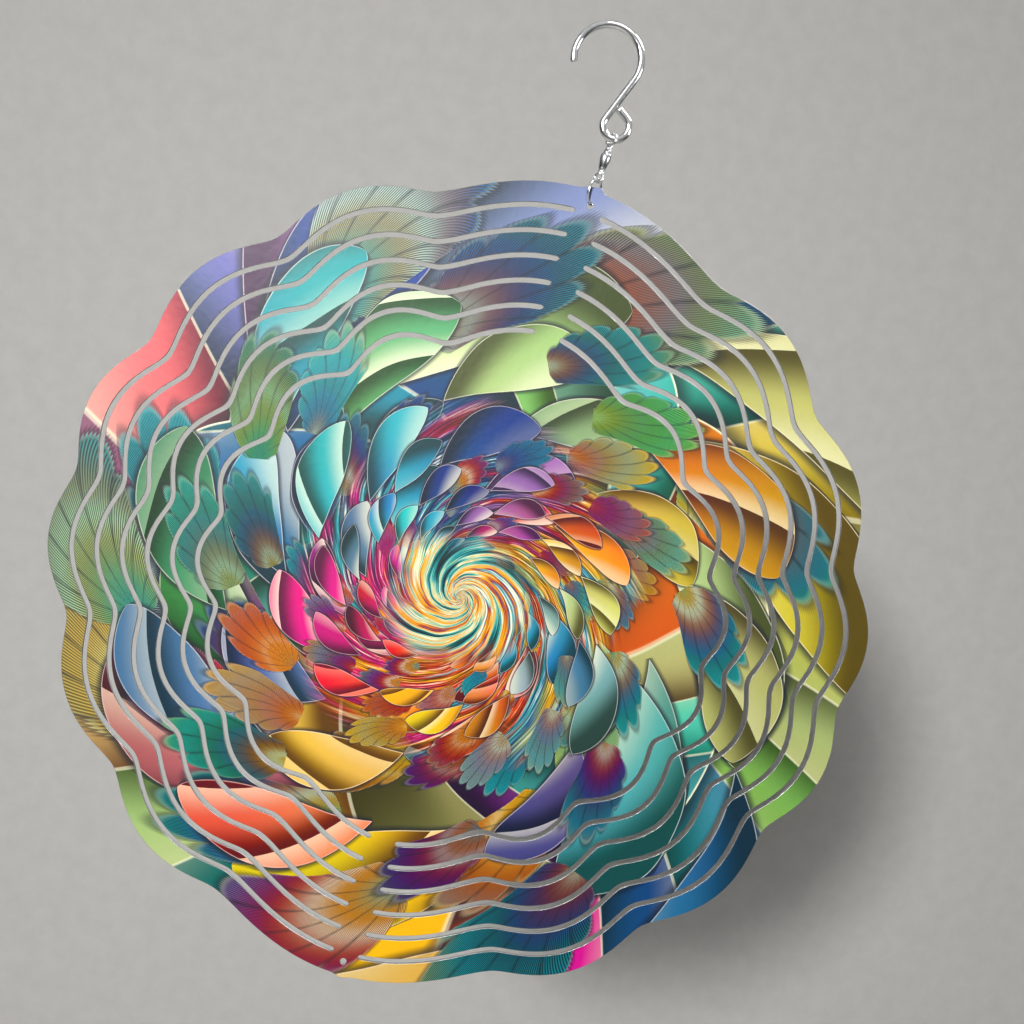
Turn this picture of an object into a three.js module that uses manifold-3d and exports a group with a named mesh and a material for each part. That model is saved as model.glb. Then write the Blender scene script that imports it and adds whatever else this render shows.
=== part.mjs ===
// Kinetic wind sculpture: a flat, scalloped sheet-metal disc cut into concentric rings that twist on
// short necks, hung from a wire hook by a barrel swivel and a jump ring.
// Millimetres. +Z is up along the necks, the printed front faces -Y, and the origin is the seat
// inside the hook's crown, where the sculpture hangs.
import * as THREE from "three";
import { mergeVertices } from "three/addons/utils/BufferGeometryUtils.js";
import Module from "manifold-3d";

// ---------------------------------------------------------------- driving dimensions
const SHEET = 1.0; // sheet thickness
const DENTS = [
  // one quarter of the scalloped edge: degrees from the neck axis, and radius of the dent
  { at: 21.7, radius: 121.1 },
  { at: 45.6, radius: 120.6 },
  { at: 69.05, radius: 121.1 },
  { at: 90, radius: 122.8 },
];
const CRESTS = [127.5, 125.8, 125.8, 126.9]; // radius of the lobe before each dent
const DENT_ROUNDING = 0.25; // 0 is a sharp V between lobes
const SLITS = 6; // slits between the outer edge and the centre
const SLIT_WIDTH = 1.5;
const FIRST_SLIT = 7.1; // from the outer edge to the first slit's middle
const SLIT_PITCH = 7.61;
const NECK_WIDTH = 8.0;
const EDGE_STEPS = 144; // points round each edge
const CUT_GAP = 0.3; // between a neck and the rings that it joins

// Each tab seen from the front: where its feet meet the edge, and how far across and how far from
// the disc's centre the two corners of its end lie.
const TOP_TAB = { feet: [-4.9, 3.3], corners: [-2.9, 1.6], ends: [128.0, 129.1] };
const BOTTOM_TAB = { feet: [-2.5, 4.6], corners: [0.6, 3.1], ends: [128.4, 127.6] };
const TAB_CORNER = 0.7; // how far from each corner its rounding starts
const HOLE_RADIUS = 1.0;
const HOLE_AT = 123.0; // from the disc's centre

const RING_WIRE = 0.8; // jump ring
const RING_RADIUS = 3.9; // to the middle of the wire
const RING_LOW = 123.4; // height of the wire in the hole
const RING_TURN = -31; // degrees that the ring is turned from square to the sheet

const EYE_WIRE = 0.8; // both swivel eyes
const LOWER_EYE_RADIUS = 1.3;
const LOWER_LEGS_MEET = 0.7; // from the barrel's end face to where the two legs meet
const UPPER_EYE_RADIUS = 2.2;
const UPPER_LEGS_MEET = 0.5;
const UPPER_EYE_HEIGHT = 6.0; // above the barrel
const UPPER_EYE_TURN = -50;
const RING_PLAY = 0.1; // between the jump ring and the lower eye
const HOOK_PLAY = 0.3; // between the upper eye and the hook
const SHANK_RADIUS = 0.75;
const HEAD_RADIUS = 1.05;
const HEAD_HEIGHT = 0.9;
const HEAD_PLAY = 0.1;

const BARREL_LOW = 134.3;
const BARREL_LENGTH = 5.6;
const BARREL_RADIUS = 1.65;
const BARREL_END_RADIUS = 1.2;
const BARREL_BORE = 0.86;
const BARREL_CAVITY = 1.22;
const BARREL_WALL = 0.6; // end walls that hold the heads

const HOOK_WIRE = 2.2;
const HOOK_EYE_RADIUS = 3.9; // to the middle of the wire
const HOOK_SHANK_ANGLE = 52.7; // degrees above horizontal
const HOOK_SHANK_LENGTH = 14.1;
const HOOK_BEND_RADIUS = 10.1;
const HOOK_BEND_SWEEP = 221.5;
const HOOK_EYE_SWEEP = 257.7;
const HOOK_TIP_LENGTH = 3.35;
const HOOK_LEAN = 18; // degrees that the hook leans from the neck axis

// ---------------------------------------------------------------- derived sizes
const ringTop = RING_LOW + 2 * RING_RADIUS;
const lowerEyeLow = ringTop - (RING_WIRE + EYE_WIRE) / 2 - RING_PLAY; // middle of its wire
const barrelTop = BARREL_LOW + BARREL_LENGTH;
const upperEyeTop = barrelTop + UPPER_EYE_HEIGHT;
const hookWireLow = upperEyeTop - EYE_WIRE - HOOK_PLAY - HOOK_WIRE / 2; // middle of its wire
const hookEyeHeight = hookWireLow + HOOK_EYE_RADIUS;

// ---------------------------------------------------------------- materials
const polished = { color: 0xc9ccd0, metalness: 1, roughness: 0.16 };
const barrelSteel = { color: 0xb4b7bb, metalness: 1, roughness: 0.28 };
const RING_COLOURS = [0x5f9fae, 0x9c4f86, 0x4f8f74, 0x6b5f96, 0xb98a4a, 0x4c7f93, 0xb8735c];
const printed = (index) => ({ color: RING_COLOURS[index], metalness: 0.25, roughness: 0.3 });

// ---------------------------------------------------------------- solids
const wasm = await Module();
wasm.setup();

// A closed geometry as a solid that can be joined and cut.
function solid(geometry) {
  const bare = geometry.clone();
  bare.deleteAttribute("normal");
  bare.deleteAttribute("uv");
  const merged = mergeVertices(bare, 1e-4);
  const vertProperties = new Float32Array(merged.attributes.position.array);
  const triVerts = new Uint32Array(merged.index.array);
  return new wasm.Manifold(new wasm.Mesh({ numProp: 3, vertProperties, triVerts }));
}

// A solid as a geometry with flat normals.
function geometryOf(shape) {
  const { vertProperties, triVerts } = shape.getMesh();
  const geometry = new THREE.BufferGeometry();
  geometry.setAttribute("position", new THREE.BufferAttribute(vertProperties, 3));
  geometry.setIndex(new THREE.BufferAttribute(triVerts, 1));
  const flat = geometry.toNonIndexed();
  flat.computeVertexNormals();
  return flat;
}

function named(name, geometry, look) {
  const mesh = new THREE.Mesh(geometry, new THREE.MeshStandardMaterial(look));
  mesh.name = name;
  return mesh;
}

// A flat outline in X and Z, cut from the sheet, with the sheet's middle at Y = 0.
function cutFromSheet(outline) {
  const plate = new THREE.ExtrudeGeometry(outline, { depth: SHEET, bevelEnabled: false });
  return plate.translate(0, 0, -SHEET / 2).rotateX(Math.PI / 2);
}

// A round wire along a route in X and Z, which is a list of moves from a start point:
// [length] goes straight, and [radius, degrees] turns, left when the degrees are positive.
function routePoints(x, z, heading, moves, spacing) {
  const points = [new THREE.Vector3(x, 0, z)];
  for (const [size, turn] of moves) {
    const sweep = THREE.MathUtils.degToRad(turn ?? 0);
    const length = turn === undefined ? size : size * Math.abs(sweep);
    const steps = Math.max(1, Math.round(length / spacing));
    for (let i = 0; i < steps; i++) {
      const chord = turn === undefined ? length / steps : 2 * size * Math.sin(Math.abs(sweep) / steps / 2);
      heading += sweep / steps / 2;
      x += chord * Math.cos(heading);
      z += chord * Math.sin(heading);
      heading += sweep / steps / 2;
      points.push(new THREE.Vector3(x, 0, z));
    }
  }
  return points;
}

function wire(points, diameter, sides) {
  const section = new THREE.Shape().absarc(0, 0, diameter / 2, 0, 2 * Math.PI);
  const extrudePath = new THREE.CatmullRomCurve3(points, false, "centripetal");
  const steps = points.length - 1;
  const options = { extrudePath, steps, curveSegments: sides / 2, bevelEnabled: false };
  return new THREE.ExtrudeGeometry(section, options);
}

// A turned piece: radius and height pairs, from the axis to the axis or closed on itself.
function turned(profile, segments) {
  const points = profile.map(([radius, height]) => new THREE.Vector2(radius, height));
  return new THREE.LatheGeometry(points, segments).rotateX(Math.PI / 2);
}

// ---------------------------------------------------------------- disc
// Radius of the scalloped edge at an angle from the neck axis. Each quarter mirrors its neighbours.
function edgeRadius(angle) {
  const fold = THREE.MathUtils.radToDeg(Math.asin(Math.min(1, Math.abs(Math.sin(angle)))));
  const lobe = DENTS.findIndex((dent) => fold <= dent.at + 1e-6);
  const after = DENTS[lobe];
  const before = lobe > 0 ? DENTS[lobe - 1] : { at: -after.at, radius: after.radius };
  const along = (fold - before.at) / (after.at - before.at);
  const wave = Math.hypot(Math.sin(Math.PI * along), DENT_ROUNDING) - DENT_ROUNDING;
  const rise = wave / (Math.hypot(1, DENT_ROUNDING) - DENT_ROUNDING);
  const base = THREE.MathUtils.lerp(before.radius, after.radius, along);
  return base + (CRESTS[lobe] - (before.radius + after.radius) / 2) * rise;
}

// The scalloped edge moved inwards, as a closed list of points that runs anticlockwise.
function edgePoints(inset) {
  return Array.from({ length: EDGE_STEPS }, (_, i) => {
    const angle = (2 * Math.PI * i) / EDGE_STEPS;
    const radius = edgeRadius(angle) - inset;
    return new THREE.Vector2(-radius * Math.sin(angle), radius * Math.cos(angle));
  });
}

const slitInset = (slit) => FIRST_SLIT + SLIT_PITCH * (slit - 1); // slits count from 1 at the edge

function band(outerInset, innerInset) {
  const outline = new THREE.Shape(edgePoints(outerInset));
  outline.holes.push(new THREE.Path(edgePoints(innerInset)));
  return cutFromSheet(outline);
}

// The tab round a hole, at the top (side 1) or the bottom (side -1).
function tab(side) {
  const { feet, corners, ends } = side > 0 ? TOP_TAB : BOTTOM_TAB;
  const edge = (x) => Math.sqrt(edgeRadius(x / edgeRadius(0)) ** 2 - x * x);
  const point = (x, height) => new THREE.Vector2(x, side * height);
  const roots = feet.map((x) => point(x, edge(x)));
  const tips = corners.map((x, i) => point(x, ends[i]));
  const towards = (tip, other) => tip.clone().add(other.clone().sub(tip).setLength(TAB_CORNER));
  const outline = new THREE.Shape([point(feet[0], HOLE_AT), roots[0]]);
  for (const [before, tip, after] of [[roots[0], tips[0], tips[1]], [tips[0], tips[1], roots[1]]]) {
    const start = towards(tip, before);
    const end = towards(tip, after);
    outline.lineTo(start.x, start.y);
    outline.quadraticCurveTo(tip.x, tip.y, end.x, end.y);
  }
  outline.lineTo(roots[1].x, roots[1].y);
  outline.lineTo(feet[1], side * HOLE_AT);
  return cutFromSheet(outline);
}

function tabHole(side) {
  const drill = new THREE.CylinderGeometry(HOLE_RADIUS, HOLE_RADIUS, 3 * SHEET, 24);
  return drill.translate(0, 0, side * HOLE_AT);
}

function outerRing() {
  let ring = solid(band(0, slitInset(1) - SLIT_WIDTH / 2));
  for (const side of [1, -1]) ring = ring.add(solid(tab(side))).subtract(solid(tabHole(side)));
  return geometryOf(ring);
}

function innerRing(index) {
  const outer = slitInset(index - 1) + SLIT_WIDTH / 2;
  return band(outer, slitInset(index) - SLIT_WIDTH / 2);
}

function centreDisc() {
  return cutFromSheet(new THREE.Shape(edgePoints(slitInset(SLITS) + SLIT_WIDTH / 2)));
}

// The neck that bridges one slit at the top (side 1) or the bottom (side -1).
function neck(slit, side) {
  const height = SLIT_WIDTH - 2 * CUT_GAP;
  const middle = edgeRadius(0) - slitInset(slit);
  return new THREE.BoxGeometry(NECK_WIDTH, SHEET, height).translate(0, 0, side * middle);
}

// ---------------------------------------------------------------- jump ring and swivel
function jumpRing() {
  const ring = new THREE.TorusGeometry(RING_RADIUS, RING_WIRE / 2, 8, 40).rotateY(Math.PI / 2);
  ring.rotateZ(THREE.MathUtils.degToRad(RING_TURN));
  return ring.translate(0, 0, RING_LOW + RING_RADIUS);
}

// A swivel's wire eye: a drop-shaped loop whose two legs meet in a shank, and the head that turns
// inside the barrel. It is built upwards from height 0, where the barrel's end face lies.
function swivelEye(loopRadius, loopTop, legsMeet) {
  const foot = EYE_WIRE / 2 + 0.05; // the two legs lie side by side
  const loopCentre = loopTop - EYE_WIRE / 2 - loopRadius;
  const rise = loopCentre - legsMeet;
  const reach = Math.hypot(foot, rise);
  const leg = Math.sqrt(reach * reach - loopRadius * loopRadius);
  const heading = Math.atan2(rise, foot) + Math.asin(loopRadius / reach);
  const moves = [[leg], [loopRadius, -2 * THREE.MathUtils.radToDeg(heading)], [leg]];
  const loop = wire(routePoints(-foot, legsMeet, heading, moves, 0.45), EYE_WIRE, 8);
  const headHigh = -BARREL_WALL - HEAD_PLAY;
  const headLow = headHigh - HEAD_HEIGHT;
  const profile = [
    [0, headLow],
    [HEAD_RADIUS, headLow],
    [HEAD_RADIUS, headHigh],
    [SHANK_RADIUS, headHigh],
    [SHANK_RADIUS, legsMeet + 0.6],
    [0, legsMeet + 0.9],
  ];
  return geometryOf(solid(loop).add(solid(turned(profile, 24))));
}

function upperEye() {
  const eye = swivelEye(UPPER_EYE_RADIUS, upperEyeTop - barrelTop, UPPER_LEGS_MEET);
  eye.rotateZ(THREE.MathUtils.degToRad(UPPER_EYE_TURN));
  return eye.translate(0, 0, barrelTop);
}

function lowerEye() {
  const eye = swivelEye(LOWER_EYE_RADIUS, BARREL_LOW - lowerEyeLow + EYE_WIRE / 2, LOWER_LEGS_MEET);
  eye.rotateY(Math.PI);
  eye.rotateZ(THREE.MathUtils.degToRad(RING_TURN));
  return eye.translate(0, 0, BARREL_LOW);
}

function barrel() {
  const low = BARREL_LOW;
  const high = barrelTop;
  const profile = [
    [BARREL_BORE, low],
    [BARREL_END_RADIUS, low],
    [BARREL_RADIUS, low + 1.3],
    [BARREL_RADIUS, high - 1.3],
    [BARREL_END_RADIUS, high],
    [BARREL_BORE, high],
    [BARREL_BORE, high - BARREL_WALL],
    [BARREL_CAVITY, high - BARREL_WALL],
    [BARREL_CAVITY, low + BARREL_WALL],
    [BARREL_BORE, low + BARREL_WALL],
    [BARREL_BORE, low],
  ];
  return turned(profile, 24);
}

// ---------------------------------------------------------------- hook
// The wire runs from the open end over the bend, down the shank, round the small eye and back to the
// shank. X and Z are measured from the centre of the small eye.
function hookPoints() {
  const shank = THREE.MathUtils.degToRad(HOOK_SHANK_ANGLE);
  const along = [Math.cos(shank), Math.sin(shank)];
  const side = [-along[1], along[0]]; // towards the inside of the bend
  const footX = HOOK_EYE_RADIUS * side[0];
  const footZ = HOOK_EYE_RADIUS * side[1];
  const centreX = footX + HOOK_SHANK_LENGTH * along[0] + HOOK_BEND_RADIUS * side[0];
  const centreZ = footZ + HOOK_SHANK_LENGTH * along[1] + HOOK_BEND_RADIUS * side[1];
  const endAngle = shank - Math.PI / 2 + THREE.MathUtils.degToRad(HOOK_BEND_SWEEP);
  const moves = [
    [HOOK_BEND_RADIUS, -HOOK_BEND_SWEEP],
    [HOOK_SHANK_LENGTH],
    [HOOK_EYE_RADIUS, HOOK_EYE_SWEEP],
    [HOOK_TIP_LENGTH],
  ];
  const startX = centreX + HOOK_BEND_RADIUS * Math.cos(endAngle);
  const startZ = centreZ + HOOK_BEND_RADIUS * Math.sin(endAngle);
  const points = routePoints(startX, startZ, endAngle - Math.PI / 2, moves, 1.1);
  return { points, crown: new THREE.Vector3(centreX, 0, centreZ) };
}

const { points: hookRoute, crown: bendCentre } = hookPoints();
const lean = new THREE.Matrix4().makeRotationY(-THREE.MathUtils.degToRad(HOOK_LEAN));
bendCentre.applyMatrix4(lean);

function hook() {
  const route = hookRoute.map((point) => point.clone().applyMatrix4(lean));
  return wire(route, HOOK_WIRE, 10).translate(0, 0, hookEyeHeight);
}

// ---------------------------------------------------------------- assembly
const seat = bendCentre.clone();
seat.z += hookEyeHeight + HOOK_BEND_RADIUS - HOOK_WIRE / 2;

const sculpture = new THREE.Group();
const hanging = new THREE.Group(); // measured from the disc's centre
hanging.position.copy(seat).negate();
sculpture.add(hanging);

hanging.add(named("hook", hook(), polished));
hanging.add(named("swivel_upper_eye", upperEye(), polished));
hanging.add(named("swivel_barrel", barrel(), barrelSteel));
hanging.add(named("swivel_lower_eye", lowerEye(), polished));
hanging.add(named("jump_ring", jumpRing(), polished));

hanging.add(named("outer_ring", outerRing(), printed(0)));
for (let index = 2; index <= SLITS; index++) {
  hanging.add(named(`ring_${index}`, innerRing(index), printed(index - 1)));
}
hanging.add(named("centre_disc", centreDisc(), printed(SLITS)));

for (let slit = 1; slit <= SLITS; slit++) {
  hanging.add(named(`neck_${slit}_top`, neck(slit, 1), printed(slit)));
  hanging.add(named(`neck_${slit}_bottom`, neck(slit, -1), printed(slit)));
}

export default sculpture;
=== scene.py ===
"""Looks of a hanging wind spinner: a printed, scalloped metal disc cut into rings on short necks,
with its chrome hook, barrel swivel and jump ring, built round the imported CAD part.

Shapes are worked out in millimetres from the disc's centre, with X to the right, Y to the back and
Z up, and are turned into the row frame's metres when a mesh is made.
"""

import math

import bpy
import numpy as np
from mathutils import Matrix, Vector
from mathutils.geometry import delaunay_2d_cdt


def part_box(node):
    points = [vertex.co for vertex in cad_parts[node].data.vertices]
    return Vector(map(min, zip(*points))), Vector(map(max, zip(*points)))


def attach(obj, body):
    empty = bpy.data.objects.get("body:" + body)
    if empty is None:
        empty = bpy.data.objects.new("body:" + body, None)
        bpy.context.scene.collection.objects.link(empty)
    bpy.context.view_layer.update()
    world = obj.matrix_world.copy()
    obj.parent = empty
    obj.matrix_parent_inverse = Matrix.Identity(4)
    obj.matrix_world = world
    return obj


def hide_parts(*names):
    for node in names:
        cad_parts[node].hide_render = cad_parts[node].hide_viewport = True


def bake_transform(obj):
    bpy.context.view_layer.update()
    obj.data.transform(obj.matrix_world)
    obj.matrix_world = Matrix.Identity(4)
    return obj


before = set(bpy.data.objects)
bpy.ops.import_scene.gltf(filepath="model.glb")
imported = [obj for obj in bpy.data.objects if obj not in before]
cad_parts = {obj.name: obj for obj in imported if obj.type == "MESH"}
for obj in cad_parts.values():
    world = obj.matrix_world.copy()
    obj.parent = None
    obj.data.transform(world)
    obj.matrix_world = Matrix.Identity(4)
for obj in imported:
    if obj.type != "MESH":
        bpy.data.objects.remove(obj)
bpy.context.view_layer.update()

# ---------------------------------------------------------------- sizes, in millimetres
SHEET = 1.0
DENT_AT = np.array([-21.7, 21.7, 45.6, 69.05, 90.0])  # degrees from the neck axis
DENT_RADIUS = np.array([121.1, 121.1, 120.6, 121.1, 122.8])
CREST_RADIUS = np.array([127.5, 125.8, 125.8, 126.9])
DENT_ROUNDING = 0.25
SLITS = 6
SLIT_WIDTH = 1.5
FIRST_SLIT = 7.1
SLIT_PITCH = 7.61
NECK_WIDTH = 8.0
EDGE_STEPS = 864
BEVEL = 0.09  # deburred edges of the cut sheet
JOINED_BEVEL = 0.008  # where a neck joins a ring
# Each tab seen from the front: where its feet meet the edge, and its end's two corners.
TOP_TAB = {"feet": (-4.9, 3.3), "corners": (-2.9, 1.6), "ends": (128.0, 129.1)}
BOTTOM_TAB = {"feet": (-2.5, 4.6), "corners": (0.6, 3.1), "ends": (128.4, 127.6)}
TAB_CORNER, TAB_FILLET = 0.7, 0.6
HOLE_RADIUS, HOLE_AT = 1.0, 123.0

RING_WIRE, RING_RADIUS, RING_LOW, RING_TURN = 0.8, 3.9, 123.4, -31.0
EYE_WIRE = 0.8
UPPER_EYE_TURN = -50.0
BARREL_LOW, BARREL_LENGTH = 134.3, 5.6
UPPER_EYE_TOP, LOWER_EYE_LOW = 145.9, 129.9  # outsides of the wire
HOOK_WIRE = 2.2
HOOK_EYE_RADIUS, HOOK_EYE_SWEEP, HOOK_EYE_HEIGHT = 3.9, 257.7, 147.6
HOOK_SHANK_ANGLE, HOOK_SHANK_LENGTH = 52.7, 14.1
HOOK_BEND_RADIUS, HOOK_BEND_SWEEP = 10.1, 221.5
HOOK_TIP_LENGTH, HOOK_LEAN = 3.35, 18.0

low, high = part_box("centre_disc")
CENTRE = np.array((low + high) / 2)


# ---------------------------------------------------------------- meshes
def mesh_piece(name, points, faces, materials, face_slots=None, flat=()):
    """A piece from points in millimetres. flat holds the material slots that are shaded flat.
    Its "rest" attribute keeps each point's place on the resting sculpture, in millimetres."""
    points = np.asarray(points, float)
    mesh = bpy.data.meshes.new(name)
    mesh.from_pydata((CENTRE + points / 1000).tolist(), [], faces)
    for material in materials:
        mesh.materials.append(material)
    slots = np.zeros(len(faces), np.int32) if face_slots is None else np.asarray(face_slots)
    mesh.polygons.foreach_set("material_index", slots)
    mesh.polygons.foreach_set("use_smooth", ~np.isin(slots, list(flat)))
    rest = mesh.attributes.new("rest", "FLOAT_VECTOR", "POINT")
    rest.data.foreach_set("vector", points.astype(np.float32).ravel())
    mesh.validate()
    piece = bpy.data.objects.new(name, mesh)
    bpy.context.scene.collection.objects.link(piece)
    return piece


def smoothstep(low, high, value):
    share = np.clip((value - low) / (high - low), 0, 1)
    return share * share * (3 - 2 * share)


def turned_about_z(points, degrees):
    c, s = math.cos(math.radians(degrees)), math.sin(math.radians(degrees))
    return np.asarray(points) @ np.array([[c, -s, 0], [s, c, 0], [0, 0, 1]]).T


# ---------------------------------------------------------------- the sheet
def edge_radius(angle):
    """Radius of the scalloped edge at an angle from the neck axis."""
    fold = np.degrees(np.arcsin(np.abs(np.sin(angle)).clip(max=1)))
    lobe = np.searchsorted(DENT_AT[1:], fold - 1e-6)
    along = (fold - DENT_AT[lobe]) / (DENT_AT[lobe + 1] - DENT_AT[lobe])
    wave = np.hypot(np.sin(np.pi * along), DENT_ROUNDING) - DENT_ROUNDING
    rise = wave / (math.hypot(1, DENT_ROUNDING) - DENT_ROUNDING)
    before, after = DENT_RADIUS[lobe], DENT_RADIUS[lobe + 1]
    base = before + (after - before) * along
    return base + (CREST_RADIUS[lobe] - (before + after) / 2) * rise


def edge_points(inset, angles):
    radius = edge_radius(angles) - inset
    return np.stack([-radius * np.sin(angles), radius * np.cos(angles)], 1)


def edge_loop(inset):
    return edge_points(inset, np.arange(EDGE_STEPS) * 2 * np.pi / EDGE_STEPS)


def edge_height(inset, x):
    """Height of the top of the moved edge over the disc's centre, at a distance x from the necks."""
    angle = x * 0
    for _ in range(6):
        angle = np.arcsin(x / (edge_radius(angle) - inset))
    return (edge_radius(angle) - inset) * np.cos(angle)


def slit_inset(slit):
    return FIRST_SLIT + SLIT_PITCH * (slit - 1)


def fill(loops):
    """Triangles inside the first loop and outside the others, as indices into all their points."""
    points = np.concatenate(loops)
    starts = np.cumsum([0] + [len(loop) for loop in loops])
    edges = [
        (int(start + i), int(start + (i + 1) % len(loop)))
        for start, loop in zip(starts, loops)
        for i in range(len(loop))
    ]
    made = delaunay_2d_cdt([Vector(p) for p in points], edges, [], 0, 1e-6)
    vertex = np.array([origin[0] for origin in made[3]])
    triangles = vertex[np.array(made[2])]
    a, b, c = (points[triangles[:, i]] for i in range(3))
    ab, ac = b - a, c - a
    backwards = ab[:, 0] * ac[:, 1] < ab[:, 1] * ac[:, 0]
    triangles[backwards] = triangles[backwards][:, ::-1]
    middle = (a + b + c) / 3
    p = points[[e[0] for e in edges]]
    q = points[[e[1] for e in edges]]
    spans = (p[:, 1] > middle[:, None, 1]) != (q[:, 1] > middle[:, None, 1])
    rise = np.where(q[:, 1] == p[:, 1], 1, q[:, 1] - p[:, 1])
    crossing = p[:, 0] + (middle[:, None, 1] - p[:, 1]) / rise * (q[:, 0] - p[:, 0])
    inside = (spans & (crossing > middle[:, None, 0])).sum(1) % 2 == 1
    return triangles[inside].tolist()


def plate(name, loops, bevels):
    """A piece of the printed sheet. Its metal lies to the left of each loop, seen from the front.
    bevels holds each loop's own list of bevel sizes."""
    shy = 1 - math.sqrt(0.5)  # how much of the bevel is left at the middle of its arc
    rows = []
    for inset_share, depth_share, from_back in (
        (1, 0, False),
        (shy, shy, False),
        (0, 1, False),
        (0, 1, True),
        (shy, shy, True),
        (1, 0, True),
    ):
        for loop, bevel in zip(loops, bevels):
            along = np.roll(loop, -1, 0) - np.roll(loop, 1, 0)
            left = np.stack([-along[:, 1], along[:, 0]], 1)
            left /= np.linalg.norm(left, axis=1)[:, None]
            moved = loop + left * (inset_share * bevel)[:, None]
            depth = SHEET / 2 - depth_share * bevel
            rows.append(np.stack([moved[:, 0], depth if from_back else -depth, moved[:, 1]], 1))
    row_size = sum(len(loop) for loop in loops)
    row_count = len(rows) // len(loops)
    faces, slots = [], []
    start = 0
    for loop in loops:
        count = len(loop)
        for row in range(row_count - 1):
            here, there = row * row_size + start, (row + 1) * row_size + start
            for i in range(count):
                j = (i + 1) % count
                faces.append((here + i, there + i, there + j, here + j))
        start += count
    slots += [1] * len(faces)
    front = fill([rows[i][:, [0, 2]] for i in range(len(loops))])
    back_start = (row_count - 1) * row_size
    faces += [tuple(t) for t in front]
    faces += [tuple(back_start + v for v in reversed(t)) for t in front]
    slots += [0] * (2 * len(front))
    printed = DISC_PRINT if name == "centre_disc_printed" else RING_PRINT
    return mesh_piece(name, np.concatenate(rows), faces, [printed, CUT_EDGE], slots, flat=[0])


def neck_bevels(loop):
    """Full bevels along a slit, and almost none where the necks join."""
    half = (NECK_WIDTH + SLIT_WIDTH) / 2
    return JOINED_BEVEL + (BEVEL - JOINED_BEVEL) * smoothstep(half, half + 0.8, np.abs(loop[:, 0]))


def rounded(before, corner, after, reach):
    """A corner rounded from reach before it to reach after it."""
    start = corner + (before - corner) * reach / np.linalg.norm(before - corner)
    end = corner + (after - corner) * reach / np.linalg.norm(after - corner)
    t = np.linspace(0, 1, 9)[:, None]
    return start * (1 - t) ** 2 + corner * 2 * t * (1 - t) + end * t**2


def on_edge(x):
    """The point of the outer edge at x, seen with its tab on top."""
    return np.array([x, edge_height(0.0, np.array([abs(x)]))[0]])


def tab_points(tab, side):
    """A tab's outline from left to right, seen from the front."""
    left, right = tab["feet"]
    path = [on_edge(left - TAB_FILLET), on_edge(left)]
    path += [np.array(corner) for corner in zip(tab["corners"], tab["ends"])]
    path += [on_edge(right), on_edge(right + TAB_FILLET)]
    reach = [0.9 * TAB_FILLET, TAB_CORNER, TAB_CORNER, 0.9 * TAB_FILLET]
    return np.concatenate([rounded(*path[i : i + 3], reach[i]) for i in range(4)]) * [1, side]


def outer_outline():
    """The scalloped edge with its two tabs, anticlockwise."""

    def roots(tab):
        feet = [on_edge(abs(x) + TAB_FILLET) for x in tab["feet"]]
        return [math.atan2(*foot) + math.radians(0.05) for foot in feet]

    steps = EDGE_STEPS // 2
    (top_left, top_right), (low_left, low_right) = roots(TOP_TAB), roots(BOTTOM_TAB)
    left = edge_points(0.0, np.linspace(top_left, np.pi - low_left, steps))
    right = edge_points(0.0, np.linspace(np.pi + low_right, 2 * np.pi - top_right, steps))
    top, bottom = tab_points(TOP_TAB, 1)[::-1], tab_points(BOTTOM_TAB, -1)
    return np.concatenate([top, left, bottom, right])


def hole(side):
    """The hole's edge, clockwise."""
    angles = -np.arange(48) * 2 * np.pi / 48
    return np.stack([HOLE_RADIUS * np.cos(angles), side * HOLE_AT + HOLE_RADIUS * np.sin(angles)], 1)


def ring_piece(index):
    """Ring 1 is the outermost, and the last one is the disc in the middle."""
    if index == 1:
        loops = [outer_outline(), hole(1), hole(-1)]
        bevels = [np.full(len(loop), BEVEL) for loop in loops]
    else:
        loops = [edge_loop(slit_inset(index - 1) + SLIT_WIDTH / 2)]
        bevels = [neck_bevels(loops[0])]
    if index <= SLITS:
        inner = edge_loop(slit_inset(index) - SLIT_WIDTH / 2)[::-1]
        loops.append(inner)
        bevels.append(neck_bevels(inner))
    name = {1: "outer_ring", SLITS + 1: "centre_disc"}.get(index, f"ring_{index}")
    piece = plate(f"{name}_printed", loops, bevels)
    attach(piece, name)
    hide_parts(name)
    return name


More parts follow.
